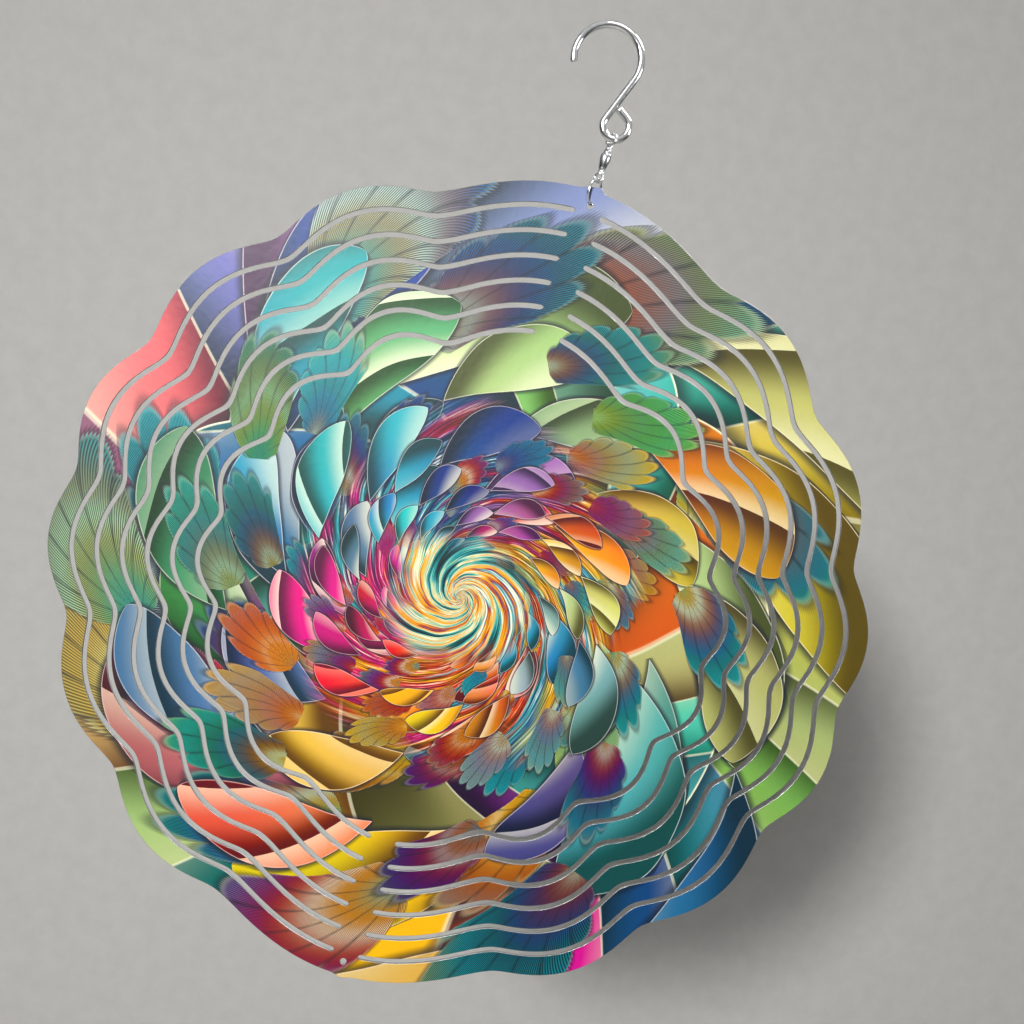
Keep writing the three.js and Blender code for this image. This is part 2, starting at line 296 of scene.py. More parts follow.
def neck_piece(slit, side):
    """A neck across one slit: its ends follow the two rings."""
    rows, columns = 13, 9
    outline = SLIT_WIDTH / 2
    points = []
    for v in np.linspace(0, 1, rows):
        half = NECK_WIDTH / 2 + outline * (1 - math.sqrt(max(0, 1 - (2 * v - 1) ** 2)))
        flat = half - BEVEL
        shy = half - BEVEL * (1 - math.sqrt(0.5))
        face = SHEET / 2
        low_face, mid_face = face - BEVEL * (1 - math.sqrt(0.5)), face - BEVEL
        across = np.linspace(-flat, flat, columns)
        ring = [(x, -face) for x in across]
        ring += [(shy, -low_face), (half, -mid_face), (half, mid_face), (shy, low_face)]
        ring += [(x, face) for x in across[::-1]]
        ring += [(-shy, low_face), (-half, mid_face), (-half, -mid_face), (-shy, -low_face)]
        ring = np.array(ring)
        outer = edge_height(slit_inset(slit) - outline, ring[:, 0])
        inner = edge_height(slit_inset(slit) + outline, ring[:, 0])
        height = outer + (inner - outer) * v
        points.append(np.stack([ring[:, 0], ring[:, 1], height], 1))
    count = len(points[0])
    faces, slots = [], []
    for row in range(rows - 1):
        for i in range(count):
            j = (i + 1) % count
            here, there = row * count, (row + 1) * count
            faces.append((here + i, there + i, there + j, here + j))
            printed = i < columns - 1 or columns + 4 <= i < 2 * columns + 3
            slots.append(0 if printed else 1)
    faces.append(tuple(range(count)))
    faces.append(tuple((rows - 1) * count + i for i in reversed(range(count))))
    slots += [1, 1]
    points = np.concatenate(points)
    if side < 0:
        points = points * [-1, 1, -1]
    end = "top" if side > 0 else "bottom"
    materials = [RING_PRINT, CUT_EDGE]
    piece = mesh_piece(f"neck_{slit}_{end}_printed", points, faces, materials, slots, flat=[0])
    joined = NECK_WIDTH / 2 + outline
    start = edge_height(slit_inset(slit) - outline, np.array([joined]))[0]
    stop = edge_height(slit_inset(slit) + outline, np.array([0.0]))[0]
    axis = [Vector(CENTRE + np.array([0, 0, side * z / 1000])) for z in (start, stop)]
    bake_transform(piece)
    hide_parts(f"neck_{slit}_{end}")


# ---------------------------------------------------------------- wire and turned pieces
def smooth_path(points, spacing):
    """A smooth curve through the points, with its own points about one spacing apart."""
    points = np.asarray(points, float)
    padded = np.concatenate([2 * points[:1] - points[1:2], points, 2 * points[-1:] - points[-2:-1]])
    path = []
    for i in range(1, len(padded) - 2):
        before, a, b, after = padded[i - 1 : i + 3]
        steps = max(2, round(np.linalg.norm(b - a) / spacing))
        for t in np.arange(steps) / steps:
            path.append(
                a
                + 0.5 * t * (b - before)
                + t * t * (before - 2.5 * a + 2 * b - 0.5 * after)
                + t * t * t * 0.5 * (after - before + 3 * (a - b))
            )
    path.append(points[-1])
    return np.array(path)


def route(x, z, heading, moves, spacing):
    """Points of a route in X and Z. A move is [length] straight on, or [radius, degrees] round."""
    points = [(x, 0.0, z)]
    for size, *turn in moves:
        sweep = math.radians(turn[0]) if turn else 0.0
        length = size * abs(sweep) if turn else size
        steps = max(1, round(length / spacing))
        for _ in range(steps):
            chord = 2 * size * math.sin(abs(sweep) / steps / 2) if turn else length / steps
            heading += sweep / steps / 2
            x += chord * math.cos(heading)
            z += chord * math.sin(heading)
            heading += sweep / steps / 2
            points.append((x, 0.0, z))
    return np.array(points)


def tube(name, path, diameter, sides, material, chamfer=0.1):
    """A round wire with chamfered ends that are cut square."""
    tangent = np.gradient(path, axis=0)
    tangent /= np.linalg.norm(tangent, axis=1)[:, None]
    radius = np.full(len(path), diameter / 2)
    ends = [
        (path[0], tangent[0], diameter / 2 - chamfer),
        (path[0] + tangent[0] * chamfer * 0.3, tangent[0], diameter / 2 - chamfer * 0.3),
    ]
    tail = [
        (path[-1] - tangent[-1] * chamfer * 0.3, tangent[-1], diameter / 2 - chamfer * 0.3),
        (path[-1], tangent[-1], diameter / 2 - chamfer),
    ]
    path[0] = path[0] + tangent[0] * chamfer
    path[-1] = path[-1] - tangent[-1] * chamfer
    stations = ends + list(zip(path, tangent, radius)) + tail
    side = np.cross(stations[0][1], [0.0, 1.0, 0.0])
    if np.linalg.norm(side) < 0.1:
        side = np.cross(stations[0][1], [1.0, 0.0, 0.0])
    angles = np.arange(sides) * 2 * np.pi / sides
    points = []
    for at, along, size in stations:
        side = side - along * np.dot(side, along)
        side /= np.linalg.norm(side)
        other = np.cross(along, side)
        points.append(
            at + size * (np.cos(angles)[:, None] * side + np.sin(angles)[:, None] * other)
        )
    faces = []
    for row in range(len(points) - 1):
        here, there = row * sides, (row + 1) * sides
        for i in range(sides):
            j = (i + 1) % sides
            faces.append((here + i, here + j, there + j, there + i))
    slots = [0] * len(faces)
    faces.append(tuple(reversed(range(sides))))
    faces.append(tuple((len(points) - 1) * sides + i for i in range(sides)))
    slots += [1, 1]
    return mesh_piece(name, np.concatenate(points), faces, [material, material], slots, flat=[1])


def lathe(name, profile, segments, material):
    """A turned piece from a closed profile of radius and height pairs, outside first, going up."""
    angles = np.arange(segments) * 2 * np.pi / segments
    points = np.concatenate(
        [np.stack([r * np.cos(angles), r * np.sin(angles), angles * 0 + h], 1) for r, h in profile]
    )
    faces = []
    for row in range(len(profile)):
        here, there = row * segments, (row + 1) % len(profile) * segments
        for i in range(segments):
            j = (i + 1) % segments
            faces.append((here + i, here + j, there + j, there + i))
    return mesh_piece(name, points, faces, [material])


def carry(piece, body):
    """The piece stands for its body's own CAD node and moves with it."""
    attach(piece, body)
    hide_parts(body)


def hook_piece():
    """The wire runs from the open end over the bend, down the shank and round the small eye."""
    shank = math.radians(HOOK_SHANK_ANGLE)
    along = np.array([math.cos(shank), math.sin(shank)])
    side = np.array([-along[1], along[0]])
    bend = HOOK_EYE_RADIUS * side + HOOK_SHANK_LENGTH * along + HOOK_BEND_RADIUS * side
    end_angle = shank - math.pi / 2 + math.radians(HOOK_BEND_SWEEP)
    start = bend + HOOK_BEND_RADIUS * np.array([math.cos(end_angle), math.sin(end_angle)])
    moves = [
        [HOOK_BEND_RADIUS, -HOOK_BEND_SWEEP],
        [HOOK_SHANK_LENGTH],
        [HOOK_EYE_RADIUS, HOOK_EYE_SWEEP],
        [HOOK_TIP_LENGTH],
    ]
    path = route(start[0], start[1], end_angle - math.pi / 2, moves, 0.4)
    c, s = math.cos(math.radians(HOOK_LEAN)), math.sin(math.radians(HOOK_LEAN))
    x, z = path[:, 0].copy(), path[:, 2].copy()
    path[:, 0] = x * c - z * s
    path[:, 2] = x * s + z * c + HOOK_EYE_HEIGHT
    piece = tube("hook_wire_bent", path, HOOK_WIRE, 32, CHROME, chamfer=0.22)
    carry(piece, "hook")


def swivel_eye(name, body, half_width, length, twist_length, turn, base, up):
    """A wire loop whose two legs twist round each other before they enter the barrel. Heights count
    from the barrel's end face, outwards; up is 1 for the upper eye and -1 for the lower one."""
    top = length - EYE_WIRE / 2
    middle = (twist_length + top) / 2
    leg = 0.42
    one_leg = [(leg, 0.0, -0.5)]
    for share in np.linspace(0, 1, 7):
        angle = share * 1.5 * math.pi
        spread = leg + 0.14 * math.sin(math.pi * share) ** 2
        one_leg.append(
            (spread * math.cos(angle), spread * math.sin(angle), 0.1 + share * (twist_length - 0.1))
        )
    rise = top - twist_length
    shoulder = [
        (half_width * 0.52, -0.24, twist_length + rise * 0.09),
        (half_width * 0.86, -0.06, twist_length + rise * 0.26),
        (half_width, 0.0, middle + rise * 0.02),
        (half_width * 0.84, 0.0, top - rise * 0.23),
        (half_width * 0.47, 0.0, top - rise * 0.06),
    ]
    half = np.array(one_leg + shoulder)
    other = half[::-1] * [-1, -1, 1]
    keys = np.concatenate([half, [(0.0, 0.0, top)], other])
    path = smooth_path(keys, 0.12)
    path[:, 2] *= up
    path[:, 1] *= up
    path = turned_about_z(path, turn) + [0, 0, base]
    piece = tube(name, path, EYE_WIRE, 16, CHROME, chamfer=0.05)
    carry(piece, body)


def barrel_piece():
    low, high = BARREL_LOW, BARREL_LOW + BARREL_LENGTH
    outside = [
        (1.0, 0.0), (1.09, 0.05), (1.13, 0.16), (1.13, 0.5), (1.16, 0.62), (1.22, 0.85),
        (1.32, 1.25), (1.43, 1.75), (1.53, 2.3), (1.6, 2.85), (1.64, 3.3), (1.65, 3.7),
        (1.62, 4.05), (1.54, 4.4), (1.4, 4.72), (1.24, 4.92), (1.15, 5.0), (1.13, 5.12),
        (1.13, 5.42), (1.09, 5.55), (1.0, 5.6),
    ]
    profile = [(r, low + h) for r, h in outside]
    profile += [(0.87, high), (0.85, high - 0.04), (0.85, low + 0.04), (0.87, low)]
    piece = lathe("swivel_barrel_turned", profile, 48, BARREL_METAL)
    carry(piece, "swivel_barrel")


def jump_ring_piece():
    """A ring of wire, closed by a butt joint that shows as a hairline gap."""
    gap = 0.16 / RING_RADIUS
    angles = np.linspace(gap / 2, 2 * np.pi - gap / 2, 121) + math.radians(200)
    path = np.stack([angles * 0, RING_RADIUS * np.cos(angles), RING_RADIUS * np.sin(angles)], 1)
    path = turned_about_z(path, RING_TURN) + [0, 0, RING_LOW + RING_RADIUS]
    piece = tube("jump_ring_wire", path, RING_WIRE, 16, CHROME, chamfer=0.04)
    carry(piece, "jump_ring")


# ---------------------------------------------------------------- node arithmetic
TURN = 2 * math.pi


class Num:
    """A number in the material being made. Arithmetic on it adds Math nodes."""

    tree = None

    def __init__(self, socket):
        self.socket = socket

    def __add__(self, other):
        return calc("ADD", self, other)

    def __radd__(self, other):
        return calc("ADD", other, self)

    def __sub__(self, other):
        return calc("SUBTRACT", self, other)

    def __rsub__(self, other):
        return calc("SUBTRACT", other, self)

    def __mul__(self, other):
        return calc("MULTIPLY", self, other)

    def __rmul__(self, other):
        return calc("MULTIPLY", other, self)

    def __truediv__(self, other):
        return calc("DIVIDE", self, other)

    def __rtruediv__(self, other):
        return calc("DIVIDE", other, self)


def node(kind, **settings):
    made = Num.tree.nodes.new(kind)
    for key, value in settings.items():
        setattr(made, key, value)
    return made


def feed(socket, value):
    """Links a number or socket to an input, or sets the input to a plain value."""
    if isinstance(value, Num):
        value = value.socket
    if isinstance(value, bpy.types.NodeSocket):
        Num.tree.links.new(value, socket)
    else:
        socket.default_value = value


def calc(operation, *values, clamp=False):
    made = node("ShaderNodeMath", operation=operation, use_clamp=clamp)
    for socket, value in zip(made.inputs, values):
        feed(socket, value)
    return Num(made.outputs[0])


def floor(value):
    return calc("FLOOR", value)


def fract(value):
    return calc("FRACT", value)


def magnitude(value):
    return calc("ABSOLUTE", value)


def between(low, high, value):
    """A smooth step from 0 at low to 1 at high."""
    made = node("ShaderNodeMapRange", interpolation_type="SMOOTHSTEP")
    for socket, given in zip(made.inputs, (value, low, high)):
        feed(socket, given)
    return Num(made.outputs[0])


def vector(x, y, z=0.0):
    made = node("ShaderNodeCombineXYZ")
    for socket, value in zip(made.inputs, (x, y, z)):
        feed(socket, value)
    return made.outputs[0]


def parts(socket):
    made = node("ShaderNodeSeparateXYZ")
    feed(made.inputs[0], socket)
    return [Num(out) for out in made.outputs]


def noise(where, scale, detail=2.0, roughness=0.5):
    made = node("ShaderNodeTexNoise")
    given = {"Vector": where, "Scale": scale, "Detail": detail, "Roughness": roughness}
    for key, value in given.items():
        feed(made.inputs[key], value)
    return Num(made.outputs["Fac"])


def dice(where):
    """Three steady random numbers for each whole-numbered place."""
    made = node("ShaderNodeTexWhiteNoise", noise_dimensions="3D")
    feed(made.inputs["Vector"], where)
    return parts(made.outputs["Color"])


def ramp(value, stops, interpolation="LINEAR"):
    """A colour from a list of (place, colour) stops."""
    made = node("ShaderNodeValToRGB")
    made.color_ramp.interpolation = interpolation
    elements = made.color_ramp.elements
    while len(elements) < len(stops):
        elements.new(1.0)
    for element, (place, colour) in zip(elements, stops):
        element.position = place
        element.color = (*colour, 1)
    feed(made.inputs[0], value)
    return made.outputs[0]


def mix(share, first, second, mode="MIX"):
    made = node("ShaderNodeMix", data_type="RGBA", blend_type=mode, clamp_factor=True)
    feed(made.inputs[0], share)
    for socket, value in ((made.inputs[6], first), (made.inputs[7], second)):
        feed(socket, (*value, 1) if isinstance(value, tuple) else value)
    return made.outputs[2]


def tint(colour, hue, saturation, value):
    made = node("ShaderNodeHueSaturation")
    given = {"Hue": hue, "Saturation": saturation, "Value": value, "Color": colour}
    for key, setting in given.items():
        feed(made.inputs[key], setting)
    return made.outputs[0]


def layer(draw, below, place, *choices):
    """One layer of the print in a node group of its own, which keeps every node tree small."""
    parent = Num.tree
    group = bpy.data.node_groups.new(draw.__name__, "ShaderNodeTree")
    for name in ("Angle", "Log radius", "Radius", "Wobble"):
        group.interface.new_socket(name, in_out="INPUT", socket_type="NodeSocketFloat")
    group.interface.new_socket("Below", in_out="INPUT", socket_type="NodeSocketColor")
    group.interface.new_socket("Colour", in_out="OUTPUT", socket_type="NodeSocketColor")
    Num.tree = group
    given = node("NodeGroupInput").outputs
    drawn = draw(given["Below"], [Num(socket) for socket in given[:4]], *choices)
    feed(node("NodeGroupOutput").inputs[0], drawn)
    Num.tree = parent
    made = node("ShaderNodeGroup", node_tree=group)
    for socket, value in zip(made.inputs, place):
        feed(socket, value)
    if below is not None:
        feed(made.inputs["Below"], below)
    return made.outputs[0]


# ---------------------------------------------------------------- the print
CREAM = (0.86, 0.84, 0.66)
INK = (0.012, 0.018, 0.03)


def wheel(*colours):
    """Evenly spaced colours, clockwise from the top of the disc, closed on themselves."""
    stops = [(i / len(colours), colour) for i, colour in enumerate(colours)]
    return stops + [(1.0, colours[0])]


TEAL, SKY = (0.09, 0.42, 0.45), (0.05, 0.33, 0.58)
PINE, MINT = (0.01, 0.14, 0.14), (0.16, 0.5, 0.36)
GOLD, SAND = (0.78, 0.44, 0.05), (0.6, 0.45, 0.24)
SAGE, LEAF = (0.4, 0.5, 0.25), (0.16, 0.4, 0.13)
STEEL, NAVY = (0.08, 0.2, 0.36), (0.02, 0.05, 0.18)
MAUVE, PLUM = (0.3, 0.17, 0.36), (0.14, 0.03, 0.14)
ROSE, CRIMSON = (0.62, 0.06, 0.28), (0.38, 0.01, 0.08)
CORAL, RUST = (0.78, 0.2, 0.14), (0.5, 0.12, 0.03)

RIM = wheel(TEAL, SKY, PINE, MINT, GOLD, SAGE, SAGE, LEAF, STEEL, NAVY, ROSE, SAND, GOLD, PINE, SAGE,
            SAND, CRIMSON, ROSE, NAVY, CORAL, STEEL, MAUVE, CRIMSON, MAUVE)
MIDDLE = wheel(SAGE, PINE, TEAL, GOLD, RUST, SAGE, MINT, MINT, STEEL, PLUM, PINE, GOLD, SAND,
               CORAL, STEEL, LEAF, PINE, STEEL, NAVY, TEAL, NAVY, LEAF)
HEART = wheel(MAUVE, CRIMSON, RUST, GOLD, SAGE, STEEL, TEAL, CORAL, RUST, GOLD, CORAL, ROSE,
              CRIMSON, ROSE, PLUM, TEAL, STEEL, NAVY)


class Cells:
    """Cells of a net of spirals round the disc's centre: arms run clockwise outwards, and crossing
    spirals cut them into steps. The net looks the same at every size and closes on itself."""

    def __init__(self, angle, log_radius, arms, steps, twist, seed):
        across = (angle - log_radius / twist) * (arms / TURN)
        column = floor(across)
        turns = floor(column / arms)
        lane = column - turns * arms
        shift = dice(vector(lane, seed + 0.5, 7.0))[0]
        along = (angle + log_radius * twist) * (steps / TURN) + shift
        row = floor(along)
        self.u = fract(along)
        self.v = fract(across) * 2.0 - 1.0
        self.random = dice(vector(lane, row - turns * steps, seed))
        self.more = dice(vector(row - turns * steps, lane, seed + 20.0))
        from_arm = (column + 0.5) * (TURN / arms)
        from_step = (row + 0.5 - shift) * (TURN / steps)
        middle_log = (from_step - from_arm) / (twist + 1 / twist)
        self.turn = fract((from_arm + middle_log / twist) / TURN)
        self.radius = calc("EXPONENT", middle_log)
        self.half_width = math.pi / arms / math.sqrt(1 + 1 / twist**2)


def shaded(colour, light, milk):
    """A colour from its deep shade at light 0, through itself, to a milky tint at light 1."""
    deep = tint(colour, 0.475, 1.25, 0.2)
    lower = mix(between(0.0, 0.55, light), deep, colour)
    return mix(between(0.5, 1.05, light) * milk, lower, CREAM)


def petals(below, place, net, seed, share, width, blunt, wheel_stops, inner, outer, line=0.35):
    """Leaf-shaped panels with smooth shading, a thin bright rim and a soft shadow beneath."""
    angle, log_radius, radius, wobble = place
    cells = Cells(angle, log_radius, *net, 0.55, seed)
    size, pick, flip = cells.random
    lean, hue, cut = cells.more
    u, v = cells.u, cells.v
    allowed = between(inner * 0.88, inner, cells.radius) * between(outer * 1.12, outer, cells.radius)
    shown = calc("LESS_THAN", size, allowed * share)
    long = calc("POWER", u, 1.35)
    outline = calc("POWER", long * (1.0 - long) * 4.0, blunt)
    bent = v + (u - 0.5) * (lean - 0.5) * 0.5 + (u * (1.0 - u) - 0.15) * 0.9
    depth = outline * (hue * (width * 0.25) + width * 0.75) - magnitude(bent)
    depth = calc("SMOOTH_MIN", depth, (1.0 - magnitude(v)) * 1.3, 0.2)
    depth_mm = depth * radius * cells.half_width
    inside = between(0.0, 0.16, depth_mm) * shown
    shadow = between(-0.16, 0.0, depth) * shown
    rim = between(line, line * 0.5, depth_mm)
    picked = ramp(fract(cells.turn + (pick - 0.5) * 0.09), wheel_stops)
    second = tint(picked, 0.45 + hue * 0.1, 1.05, 0.75 + lean * 0.4)
    facing = calc("SIGN", flip - 0.45)
    slope = (u - 0.5) * facing * 1.1 + bent * 0.5
    step_light = fract(slope * 1.25 + hue)
    split = calc("LESS_THAN", cut, 0.35)
    light = slope + 0.42 + (step_light - slope - 0.45) * split
    body = shaded(mix(between(0.2, 0.8, u), picked, second), light, 0.1 + pick * 0.55)
    panel = mix(rim * 0.7, body, mix(0.55, second, (0.95, 0.86, 0.82)))
    return mix(inside, mix(shadow * 0.8, below, INK), panel)


FEATHER = [(0.0, PINE), (0.2, TEAL), (0.38, SAGE), (0.5, GOLD), (0.62, CREAM), (0.72, RUST),
           (0.84, PLUM), (1.0, STEEL)]


def fans(below, place, net, seed, share, wheel_stops, inner, outer):
    """Feathers of hundreds of fine lines that spread from one point of each cell."""
    angle, log_radius, radius, wobble = place
    cells = Cells(angle, log_radius, *net, 0.55, seed)
    size, pick, hue = cells.random
    u, v = cells.u, cells.v
    allowed = between(inner * 0.88, inner, cells.radius) * between(outer * 1.12, outer, cells.radius)
    shown = calc("LESS_THAN", size, allowed * share)
    out, over = u * 2.1 + 0.03, v + u * u * 0.7 - 0.3
    reach = calc("SQRT", out * out + over * over)
    spread = calc("ARCTAN2", over, out)
    curl = spread + reach * reach * (hue - 0.5) * 0.35
    lobe = fract(curl * 2.9 + pick) - 0.5
    strand = curl * 21.0 + lobe * reach * (3.0 + pick * 6.0) + wobble * 9.0
    stripe = magnitude(fract(strand) - 0.5) * 2.0
    fine = magnitude(fract(strand * 2.7) - 0.5) * 2.0
    wide = spread * spread
    depth = 1.9 - wide * (wide * 0.13 + 0.4) - lobe * lobe * 0.9 - reach
    depth = calc("SMOOTH_MIN", depth, (1.0 - magnitude(v)) * 2.6, 0.3) + stripe * 0.07
    inside = between(0.0, 0.06, depth) * shown
    picked = ramp(fract(cells.turn + (pick - 0.5) * 0.25), wheel_stops)
    along = ramp(fract(reach * 0.42 + hue * 0.6 + stripe * 0.12), FEATHER)
    hair = mix(0.25 + pick * 0.5, tint(picked, 0.5, 1.25, 1.3), tint(along, 0.5, 1.3, 1.2))
    lines = between(0.2, 0.9, stripe) * 0.7 + fine * 0.3
    body = mix(lines, tint(picked, 0.47, 1.25, 0.1), hair)
    rimmed = mix(between(0.09, 0.0, depth) * 0.6, body, mix(0.5, picked, CREAM))
    veined = mix(between(0.38, 0.5, magnitude(lobe)) * 0.5, rimmed, INK)
    return mix(inside, mix(between(-0.12, 0.0, depth) * shown * 0.6, below, INK), veined)


def panels(place, count, seed, reference, sweep, wheel_stops):
    """Wide panels between crisp, nearly radial lines."""
    angle, log_radius, radius, wobble = place
    out = log_radius - math.log(reference)
    swept = angle - out * sweep
    uneven = swept + 0.11 * calc("SINE", swept * 3.0) + 0.06 * calc("SINE", swept * 7.0 + 1.0)
    across = uneven * (count / TURN)
    index = floor(across)
    pick, hue, flip = dice(vector(index - floor(index / count) * count, 3.0, seed))
    share = fract(across)
    picked = ramp(fract((index + 0.5) / count), wheel_stops)
    second = tint(picked, 0.45 + hue * 0.1, 1.1, 0.7 + flip * 0.5)
    slope = share + (0.5 - share) * 2.0 * calc("GREATER_THAN", flip, 0.5)
    light = slope * 0.7 + out * 0.8 + 0.08
    panel = shaded(mix(share, picked, second), light, 0.05 + pick * 0.35)
    gap = calc("MINIMUM", share, 1.0 - share) * radius * (TURN / count)
    return mix(between(0.7, 0.3, gap) * 0.45, panel, CREAM)


def scalloped_step(outside, inside, place, reference, depth, lobes):
    """One picture inside a scalloped line and another outside it, with a lit edge and a shadow."""
    angle, log_radius, radius, wobble = place
    scallop = magnitude(calc("SINE", angle * (lobes / 2) + wobble * 3.0))
    past = radius - scallop * depth - reference
    lit = mix(between(-0.9, -0.3, past) * 0.8, inside, CREAM)
    dark = mix(between(7.0, 0.0, past) * 0.75, outside, INK)
    return mix(between(-0.1, 0.1, past), lit, dark)


def spun_fibres(place, fineness, length):
    """Noise drawn out along the spiral arms, the same at every distance from the centre."""
    angle, log_radius, radius, wobble = place
    arm = angle - log_radius / 0.55 + wobble * 0.5
    return vector(calc("SINE", arm) * fineness, calc("COSINE", arm) * fineness, log_radius * length)


def ground(below, place):
    """The widest panels, which every other layer lies on."""
    outside = panels(place, 23, 5.0, 112.0, 0.35, RIM)
    inside = panels(place, 16, 6.0, 80.0, -0.9, MIDDLE)
    return scalloped_step(outside, inside, place, 88.0, 9.0, 11)


def fur(below, place):
    """Fine strands under the small panels near the centre."""
    angle, log_radius, radius, wobble = place
    strands = noise(spun_fibres(place, 34.0, 5.0), 1.0, 3.0, 0.6)
    bands = noise(spun_fibres(place, 3.5, 1.2), 1.0, 2.0, 0.5)
    colour = ramp(fract(angle / TURN + (bands - 0.5) * 0.9), HEART)
    lit = mix(between(0.55, 0.7, strands) * 0.7, colour, CREAM)
    drawn = mix(between(0.36, 0.62, strands), tint(colour, 0.48, 1.1, 0.2), lit)
    return mix(between(57.0, 45.0, radius + wobble * 30.0), below, drawn)


def silk(below, place):
    """Long ribbons of colour that wind into the very centre."""
    angle, log_radius, radius, wobble = place
    ribbons = noise(spun_fibres(place, 2.6, 0.7), 1.0, 1.5, 0.5)
    strands = noise(spun_fibres(place, 22.0, 2.0), 1.0, 2.0, 0.6)
    colour = ramp(ribbons + (strands - 0.5) * 0.35, [
        (0.3, INK), (0.37, PINE), (0.41, TEAL), (0.45, SAGE), (0.475, CREAM), (0.5, SAND),
        (0.55, GOLD), (0.59, RUST), (0.63, PLUM), (0.66, TEAL), (0.7, CREAM),
    ])
    return mix(between(24.0, 15.0, radius + wobble * 16.0), below, colour)


def print_colour(to_centre):
    """The printed spiral, the same from either side. The rings need only its outer part."""
    rest = node("ShaderNodeAttribute", attribute_name="rest").outputs["Vector"]
    x, y, z = parts(rest)
    seen_from = 1.0 - 2.0 * calc("GREATER_THAN", y, 0.0)
    x = x * seen_from + 0.6
    z = z + 1.8
    radius = calc("MAXIMUM", calc("SQRT", x * x + z * z), 0.05)
    log_radius = calc("LOGARITHM", radius, math.e)
    angle = calc("ARCTAN2", x, z)
    wobble = noise(vector(x / radius * 1.6, z / radius * 1.6, log_radius * 1.5), 1.0, 1.0) - 0.5
    place = (angle, log_radius + wobble * 0.12, radius, wobble)

    colour = layer(ground, None, place)
    colour = layer(petals, colour, place, (9, 5), 68.0, 0.6, 1.0, 0.75, RIM, 84.0, 140.0, 0.5)
    colour = layer(fans, colour, place, (8, 6), 69.0, 0.4, RIM, 84.0, 122.0)
    colour = layer(petals, colour, place, (8, 6), 1.0, 0.8, 1.0, 0.7, MIDDLE, 60.0, 106.0, 0.5)
    colour = layer(fans, colour, place, (10, 8), 62.0, 0.7, MIDDLE, 62.0, 118.0)
    colour = layer(petals, colour, place, (10, 8), 3.0, 0.8, 1.0, 0.7, MIDDLE, 48.0, 90.0, 0.45)
    colour = layer(fans, colour, place, (14, 11), 4.0, 0.6, MIDDLE, 48.0, 88.0)
    if not to_centre:
        return colour
    colour = layer(fur, colour, place)
    colour = layer(petals, colour, place, (10, 8), 5.0, 0.85, 0.95, 0.75, HEART, 28.0, 56.0, 0.35)
    colour = layer(fans, colour, place, (16, 13), 6.0, 0.4, HEART, 26.0, 52.0)
    colour = layer(petals, colour, place, (13, 11), 7.0, 0.75, 0.85, 0.8, HEART, 13.0, 42.0, 0.3)
    return layer(silk, colour, place)


def new_material(name):
    material = bpy.data.materials.new(name)
    material.use_nodes = True
    material.node_tree.nodes.clear()
    Num.tree = material.node_tree
    return material


def finish_material(**inputs):
    """One Principled shader with these inputs, by their names in lower case with underscores."""
    shader = node("ShaderNodeBsdfPrincipled")
    named = {socket.name.lower().replace(" ", "_"): socket for socket in shader.inputs}
    for key, value in inputs.items():
        feed(named[key], (*value, 1) if isinstance(value, tuple) and len(value) == 3 else value)
    out = node("ShaderNodeOutputMaterial")
    Num.tree.links.new(shader.outputs[0], out.inputs[0])


def bump(height, strength, distance):
    made = node("ShaderNodeBump")
    feed(made.inputs["Strength"], strength)
    feed(made.inputs["Distance"], distance)
    feed(made.inputs["Height"], height)
    return made.outputs[0]


def rest_place(scale):
    """The resting place in millimetres times a scale, as a vector for textures."""
    rest = node("ShaderNodeAttribute", attribute_name="rest").outputs["Vector"]
    made = node("ShaderNodeVectorMath", operation="SCALE")
    feed(made.inputs[0], rest)
    feed(made.inputs["Scale"], scale)
    return made.outputs[0]


def print_material(name, to_centre):
    """Dye under a gloss clear coat: the metal beneath gives it a faint metallic depth."""
    material = new_material(name)
    colour = print_colour(to_centre)
    mottle = noise(rest_place(0.9), 1.0, 3.0, 0.6)
    colour = mix(0.06, colour, mix(mottle, (0.2, 0.2, 0.2), (0.9, 0.9, 0.9)), "OVERLAY")
    rich = node("ShaderNodeGamma")
    feed(rich.inputs[0], colour)
    feed(rich.inputs[1], 1.2)
    orange_peel = noise(rest_place(0.55), 1.0, 2.0, 0.5)
    finish_material(
        base_color=tint(rich.outputs[0], 0.5, 1.12, 1.0),
        metallic=0.06,
        specular_ior_level=0.2,
        roughness=0.42 + (mottle - 0.5) * 0.1,
        coat_weight=0.5,
        coat_roughness=0.06,
        normal=bump(orange_peel, 0.12, 0.0004),
    )
    return material


def cut_edge_material():
    """Bare aluminium where the sheet was cut, with faint streaks across its thickness."""
    material = new_material("cut_aluminium")
    streaks = noise(rest_place(6.0), 1.0, 3.0, 0.6)
    colour = ramp(streaks, [(0.3, (0.16, 0.165, 0.17)), (0.7, (0.34, 0.345, 0.35))])
    finish_material(
        base_color=colour,
        metallic=0.85,
        roughness=0.34 + (streaks - 0.5) * 0.3,
        normal=bump(streaks, 0.2, 0.0001),
    )
    return material


def plated_material(name, shade, shine):
    """Plated wire: drawn lines, fine scuffs and slightly duller patches."""
    material = new_material(name)
    patches = noise(rest_place(0.7), 1.0, 3.0, 0.6)
    scuffs = noise(rest_place(9.0), 1.0, 4.0, 0.65)
    dull = tuple(channel * 0.8 for channel in shade)
    colour = mix(between(0.35, 0.75, patches), shade, dull)
    finish_material(
        base_color=colour,
        metallic=1.0,
        roughness=shine + between(0.4, 0.8, patches) * 0.08 + (scuffs - 0.5) * 0.08,
        normal=bump(scuffs, 0.1, 0.00006),
    )
    return material


